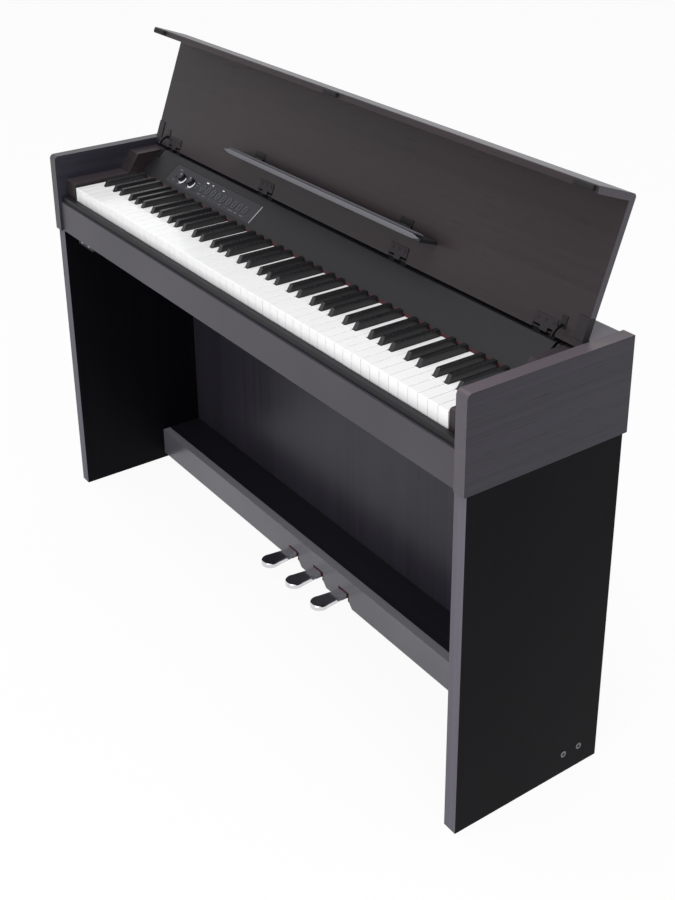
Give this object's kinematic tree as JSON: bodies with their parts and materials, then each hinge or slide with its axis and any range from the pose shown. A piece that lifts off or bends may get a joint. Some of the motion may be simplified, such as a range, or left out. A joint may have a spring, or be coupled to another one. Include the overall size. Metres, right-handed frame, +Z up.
{
  "type": "digital piano on stand",
  "caption": "Slim full-length digital piano in a dark woodgrain cabinet stand with an open lid, folding music ledge and three pedals.",
  "frame": {"origin": "floor level, midway along the keyboard and midway between the front and the back of the cabinet", "axes": "+X along the keyboard to the treble end, -Y to the player, +Z up"},
  "size_m": [1.355, 0.3295, 1.0301],
  "materials": {
    "white_plastic": "gloss",
    "black_key_plastic": "satin",
    "cabinet_wood": "satin dark woodgrain",
    "black_plastic": "matte",
    "control_plastic": "satin",
    "red_felt": "felt",
    "chrome": "polished",
    "steel": "satin",
    "rubber": "matte",
    "speaker_black": "matte",
    "circuit_green": "satin"
  },
  "bodies": {
    "cabinet": {"back_panel": "cabinet_wood", "control_circuit": "circuit_green", "control_plate": "black_plastic", "control_surface": "black_plastic", "front_board": "cabinet_wood", "headphone_jacks": "black_plastic", "hinge_leaves": "steel", "key_felts": "red_felt", "key_frame": "black_plastic", "key_pivot_rod": "steel", "key_slip": "black_plastic", "keybed": "cabinet_wood", "left_arm": "cabinet_wood", "left_key_block": "black_plastic", "left_side_panel": "cabinet_wood", "panel_bolts": "steel", "pedal_board": "cabinet_wood", "pedal_felts": "red_felt", "pedal_frame": "steel", "pedal_shelf": "cabinet_wood", "pedal_springs": "steel", "rear_board": "cabinet_wood", "rear_sockets": "black_plastic", "rear_top_board": "cabinet_wood", "right_arm": "cabinet_wood", "right_key_block": "black_plastic", "right_side_panel": "cabinet_wood", "speakers": "speaker_black"},
    "lid": {"lid_panel": "cabinet_wood", "lid_flap": "cabinet_wood", "lid_cushions": "rubber", "lid_end_brackets": "black_plastic", "hinge_straps": "steel", "lid_stays": "steel", "ledge_hinges": "steel"},
    "music_ledge": {"music_ledge": "black_plastic"},
    "left_pedal": {"left_pedal": "chrome"},
    "middle_pedal": {"middle_pedal": "chrome"},
    "right_pedal": {"right_pedal": "chrome"},
    "volume_knob": {"volume_knob": "control_plastic"},
    "tone_knob": {"tone_knob": "control_plastic"},
    "power_button": {"power_button": "control_plastic"},
    "function_button_1": {"function_button_1": "control_plastic"},
    "function_button_2": {"function_button_2": "control_plastic"},
    "function_button_3": {"function_button_3": "control_plastic"},
    "function_button_4": {"function_button_4": "control_plastic"},
    "function_button_5": {"function_button_5": "control_plastic"},
    "function_button_6": {"function_button_6": "control_plastic"},
    "function_button_7": {"function_button_7": "control_plastic"},
    "function_button_8": {"function_button_8": "control_plastic"},
    "function_button_9": {"function_button_9": "control_plastic"},
    "black_key_c_sharp": {"black_key_c_sharp": "black_key_plastic"},
    "black_key_d_sharp": {"black_key_d_sharp": "black_key_plastic"},
    "black_keys_high": {"black_keys_high": "black_key_plastic"},
    "black_keys_low": {"black_keys_low": "black_key_plastic"},
    "white_key_c": {"white_key_c": "white_plastic"},
    "white_key_d": {"white_key_d": "white_plastic"},
    "white_key_e": {"white_key_e": "white_plastic"},
    "white_keys_high": {"white_keys_high": "white_plastic"},
    "white_keys_low": {"white_keys_low": "white_plastic"}
  },
  "joints": [
    {"name": "lid_swing", "type": "hinge", "parent": "cabinet", "child": "lid", "pos_m": [0, 0.08, 0.782], "axis": [1, 0, 0], "range_deg": [0, 110]},
    {"name": "music_ledge_fold", "type": "hinge", "parent": "lid", "child": "music_ledge", "pos_m": [-0.017, 0.09363, 0.83844], "axis": [-1, 0, 0], "range_deg": [0, 90]},
    {"name": "left_pedal_press", "type": "hinge", "parent": "cabinet", "child": "left_pedal", "pos_m": [-0.089, 0.104, 0.036], "axis": [1, 0, 0], "range_deg": [0, 5], "stiffness_Nm_per_rad": 8, "springref_deg": -17.19, "deforming": ["pedal_springs"]},
    {"name": "middle_pedal_press", "type": "hinge", "parent": "cabinet", "child": "middle_pedal", "pos_m": [0, 0.104, 0.036], "axis": [1, 0, 0], "range_deg": [0, 5], "stiffness_Nm_per_rad": 8, "springref_deg": -17.19, "deforming": ["pedal_springs"]},
    {"name": "right_pedal_press", "type": "hinge", "parent": "cabinet", "child": "right_pedal", "pos_m": [0.089, 0.104, 0.036], "axis": [1, 0, 0], "range_deg": [0, 5], "stiffness_Nm_per_rad": 8, "springref_deg": -17.19, "deforming": ["pedal_springs"]},
    {"name": "black_key_c_sharp_press", "type": "hinge", "parent": "cabinet", "child": "black_key_c_sharp", "pos_m": [-0.0498, 0.058, 0.705], "axis": [1, 0, 0], "range_deg": [0, 2.91], "stiffness_Nm_per_rad": 1, "springref_deg": -8.02},
    {"name": "black_key_d_sharp_press", "type": "hinge", "parent": "cabinet", "child": "black_key_d_sharp", "pos_m": [-0.0207, 0.058, 0.705], "axis": [1, 0, 0], "range_deg": [0, 2.91], "stiffness_Nm_per_rad": 1, "springref_deg": -8.02},
    {"name": "black_keys_high_press", "type": "hinge", "parent": "cabinet", "child": "black_keys_high", "pos_m": [0, 0.058, 0.705], "axis": [1, 0, 0], "range_deg": [0, 2.91], "stiffness_Nm_per_rad": 18, "springref_deg": -8.02},
    {"name": "black_keys_low_press", "type": "hinge", "parent": "cabinet", "child": "black_keys_low", "pos_m": [0, 0.058, 0.705], "axis": [1, 0, 0], "range_deg": [0, 2.91], "stiffness_Nm_per_rad": 16, "springref_deg": -8.02},
    {"name": "white_key_c_press", "type": "hinge", "parent": "cabinet", "child": "white_key_c", "pos_m": [-0.05875, 0.058, 0.705], "axis": [1, 0, 0], "range_deg": [0, 2.91], "stiffness_Nm_per_rad": 1, "springref_deg": -8.02},
    {"name": "white_key_d_press", "type": "hinge", "parent": "cabinet", "child": "white_key_d", "pos_m": [-0.03525, 0.058, 0.705], "axis": [1, 0, 0], "range_deg": [0, 2.91], "stiffness_Nm_per_rad": 1, "springref_deg": -8.02},
    {"name": "white_key_e_press", "type": "hinge", "parent": "cabinet", "child": "white_key_e", "pos_m": [-0.01175, 0.058, 0.705], "axis": [1, 0, 0], "range_deg": [0, 2.91], "stiffness_Nm_per_rad": 1, "springref_deg": -8.02},
    {"name": "white_keys_high_press", "type": "hinge", "parent": "cabinet", "child": "white_keys_high", "pos_m": [0, 0.058, 0.705], "axis": [1, 0, 0], "range_deg": [0, 2.91], "stiffness_Nm_per_rad": 26, "springref_deg": -8.02},
    {"name": "white_keys_low_press", "type": "hinge", "parent": "cabinet", "child": "white_keys_low", "pos_m": [0, 0.058, 0.705], "axis": [1, 0, 0], "range_deg": [0, 2.91], "stiffness_Nm_per_rad": 23, "springref_deg": -8.02},
    {"name": "power_button_press", "type": "slide", "parent": "cabinet", "child": "power_button", "axis": [0, 0.5978, -0.8016], "range_m": [0, 0.0012], "stiffness_N_per_m": 400, "springref_m": -0.002},
    {"name": "function_button_1_press", "type": "slide", "parent": "cabinet", "child": "function_button_1", "axis": [0, 0.5978, -0.8016], "range_m": [0, 0.0012], "stiffness_N_per_m": 400, "springref_m": -0.002},
    {"name": "function_button_2_press", "type": "slide", "parent": "cabinet", "child": "function_button_2", "axis": [0, 0.5978, -0.8016], "range_m": [0, 0.0012], "stiffness_N_per_m": 400, "springref_m": -0.002},
    {"name": "function_button_3_press", "type": "slide", "parent": "cabinet", "child": "function_button_3", "axis": [0, 0.5978, -0.8016], "range_m": [0, 0.0012], "stiffness_N_per_m": 400, "springref_m": -0.002},
    {"name": "function_button_4_press", "type": "slide", "parent": "cabinet", "child": "function_button_4", "axis": [0, 0.5978, -0.8016], "range_m": [0, 0.0012], "stiffness_N_per_m": 400, "springref_m": -0.002},
    {"name": "function_button_5_press", "type": "slide", "parent": "cabinet", "child": "function_button_5", "axis": [0, 0.5978, -0.8016], "range_m": [0, 0.0012], "stiffness_N_per_m": 400, "springref_m": -0.002},
    {"name": "function_button_6_press", "type": "slide", "parent": "cabinet", "child": "function_button_6", "axis": [0, 0.5978, -0.8016], "range_m": [0, 0.0012], "stiffness_N_per_m": 400, "springref_m": -0.002},
    {"name": "function_button_7_press", "type": "slide", "parent": "cabinet", "child": "function_button_7", "axis": [0, 0.5978, -0.8016], "range_m": [0, 0.0012], "stiffness_N_per_m": 400, "springref_m": -0.002},
    {"name": "function_button_8_press", "type": "slide", "parent": "cabinet", "child": "function_button_8", "axis": [0, 0.5978, -0.8016], "range_m": [0, 0.0012], "stiffness_N_per_m": 400, "springref_m": -0.002},
    {"name": "function_button_9_press", "type": "slide", "parent": "cabinet", "child": "function_button_9", "axis": [0, 0.5978, -0.8016], "range_m": [0, 0.0012], "stiffness_N_per_m": 400, "springref_m": -0.002},
    {"name": "volume_knob_turn", "type": "hinge", "parent": "cabinet", "child": "volume_knob", "pos_m": [-0.474, 0.04126, 0.75133], "axis": [0, -0.5978, 0.8016], "range_deg": [-150, 150]},
    {"name": "tone_knob_turn", "type": "hinge", "parent": "cabinet", "child": "tone_knob", "pos_m": [-0.437, 0.04126, 0.75133], "axis": [0, -0.5978, 0.8016], "range_deg": [-150, 150]}
  ],
  "couplings": [
    {"joint": "music_ledge_fold", "follows": "lid_swing", "ratio": 0.8181}
  ]
}
